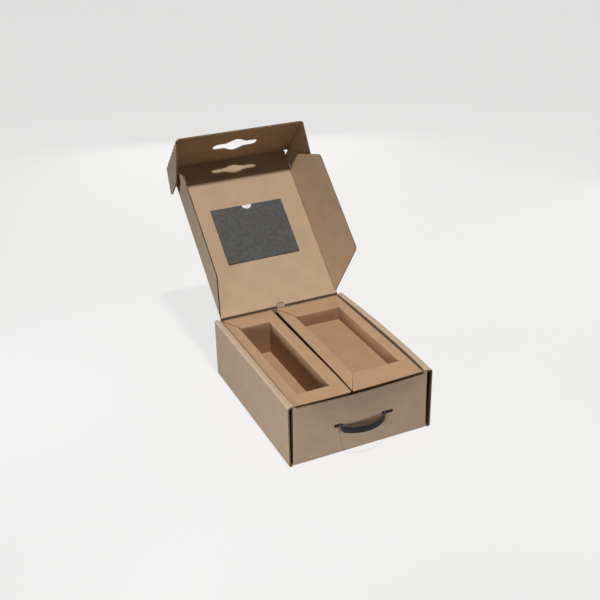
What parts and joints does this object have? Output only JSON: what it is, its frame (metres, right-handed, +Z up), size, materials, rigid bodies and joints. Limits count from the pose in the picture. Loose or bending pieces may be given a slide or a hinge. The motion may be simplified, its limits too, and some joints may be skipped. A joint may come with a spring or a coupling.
{
  "type": "mailer box",
  "caption": "Corrugated carry mailer box with a lid leaning open, side wings, slotted front flap with ears, strap handle, folded inserts with wells and a card pocket.",
  "frame": {"origin": "middle of the tray's underside, on the surface it stands on", "axes": "+X to the right as seen from the front, +Y to the back where the lid hinges, +Z up"},
  "size_m": [0.3572, 0.7339, 0.5163],
  "materials": {
    "kraft_board": "uncoated kraft liner",
    "insert_board": "uncoated kraft liner",
    "handle_plastic": "satin",
    "pocket_paper": "uncoated dyed card",
    "card_paper": "smooth card"
  },
  "bodies": {
    "tray": {"base_tray": "kraft_board", "bottle_insert": "insert_board", "goods_insert": "insert_board"},
    "lid": {"lid_panel": "kraft_board", "card_pocket": "pocket_paper", "card": "card_paper"},
    "wing_left": {"wing_left": "kraft_board"},
    "wing_right": {"wing_right": "kraft_board"},
    "front_flap": {"front_flap": "kraft_board"},
    "ear_left": {"ear_left": "kraft_board"},
    "ear_right": {"ear_right": "kraft_board"},
    "handle": {"carry_handle": "handle_plastic"}
  },
  "joints": [
    {"name": "lid_hinge", "type": "hinge", "parent": "tray", "child": "lid", "pos_m": [0, 0.2025, 0.1405], "axis": [-1, 0, 0], "range_deg": [-73, 60]},
    {"name": "wing_left_fold", "type": "hinge", "parent": "lid", "child": "wing_left", "pos_m": [-0.149, 0.33764, 0.2639], "axis": [0, -0.7385, -0.6743], "range_deg": [-45, 0.5]},
    {"name": "wing_right_fold", "type": "hinge", "parent": "lid", "child": "wing_right", "pos_m": [0.149, 0.33764, 0.2639], "axis": [0, 0.7385, 0.6743], "range_deg": [-55, 0.5]},
    {"name": "front_flap_fold", "type": "hinge", "parent": "lid", "child": "front_flap", "pos_m": [0, 0.50416, 0.41595], "axis": [1, 0, 0], "range_deg": [-92, 4]},
    {"name": "ear_left_fold", "type": "hinge", "parent": "front_flap", "child": "ear_left", "pos_m": [-0.1595, 0.45757, 0.4627], "axis": [0, -0.7059, 0.7083], "range_deg": [-82, 1]},
    {"name": "ear_right_fold", "type": "hinge", "parent": "front_flap", "child": "ear_right", "pos_m": [0.1595, 0.45757, 0.4627], "axis": [0, 0.7059, -0.7083], "range_deg": [-72, 0.5]},
    {"name": "handle_swing", "type": "hinge", "parent": "tray", "child": "handle", "pos_m": [0, -0.2025, 0.0675], "axis": [-1, 0, 0], "range_deg": [0, 38]}
  ]
}
